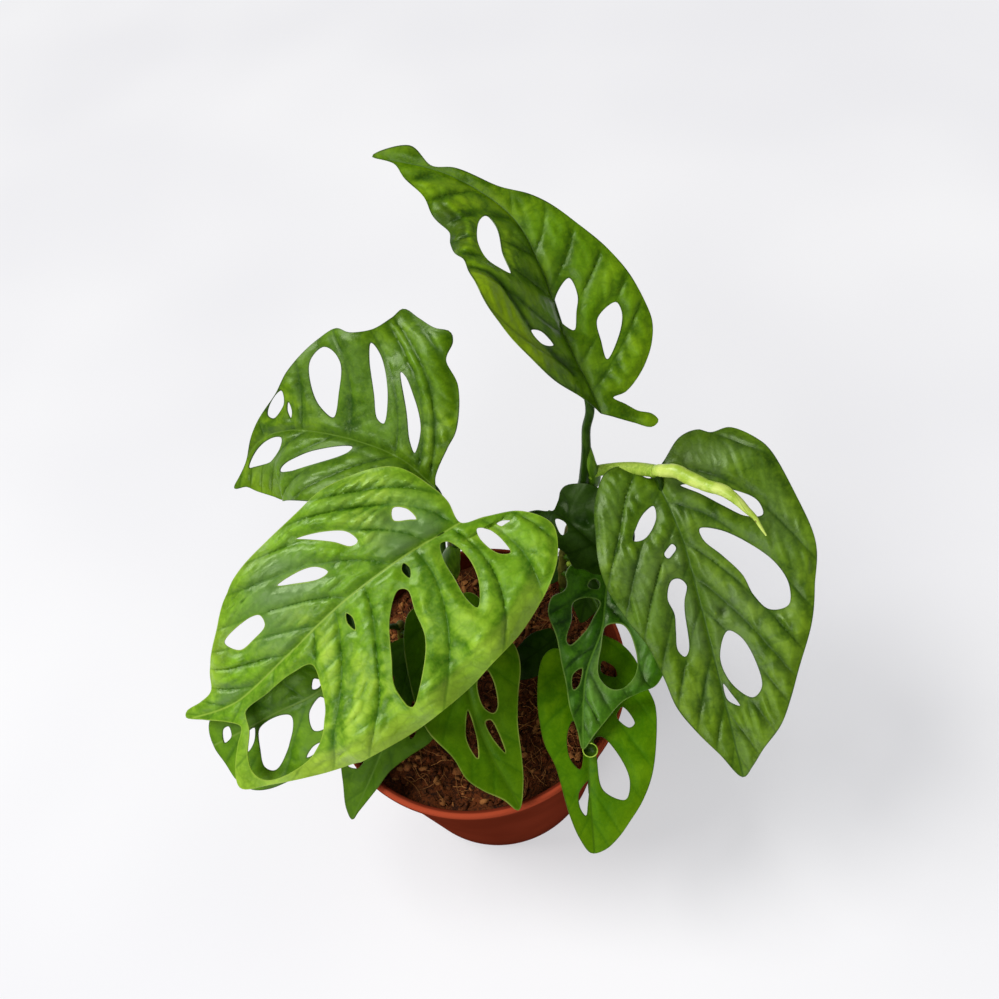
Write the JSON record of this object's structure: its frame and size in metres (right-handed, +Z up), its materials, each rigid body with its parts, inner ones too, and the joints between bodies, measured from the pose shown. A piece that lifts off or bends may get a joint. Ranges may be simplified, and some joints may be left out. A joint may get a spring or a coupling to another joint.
{
  "type": "potted monstera adansonii",
  "caption": "Climbing aroid house plant with large heart-shaped leaves pierced by long oval holes, a young rolled leaf, and a round tapered plastic nursery pot filled with coir and bark mix.",
  "frame": {"origin": "the middle of the pot's base, on the surface it stands on", "axes": "+Z up along the pot's axis; -Y towards the side the front leaves hang over; +X to the right as seen from there"},
  "size_m": [0.2387, 0.2042, 0.2493],
  "materials": {
    "pot": "satin terracotta-red moulded plastic",
    "soil": "coarse dry coir and bark mix",
    "stem": "smooth olive-brown young stem",
    "leaf": "leathery, soft gloss, green",
    "leaf_bright": "leathery, soft gloss, bright yellow green",
    "leaf_dark": "leathery, glossy, dark green",
    "new_leaf": "waxy, soft gloss, pale yellow green"
  },
  "bodies": {
    "root": {"pot": "pot", "soil": "soil", "stem_right": "stem", "stem_left": "stem", "stem_mid": "stem", "leaf_top": "leaf", "leaf_back": "leaf", "leaf_front": "leaf_bright", "leaf_right": "leaf", "leaf_small": "leaf_dark", "leaf_low_right": "leaf", "leaf_low_middle": "leaf", "leaf_low_left": "leaf", "leaf_shaded": "leaf_dark", "leaf_tucked": "leaf", "leaf_ground": "leaf_dark", "leaf_behind": "leaf_dark", "new_leaf": "new_leaf"}
  },
  "joints": []
}
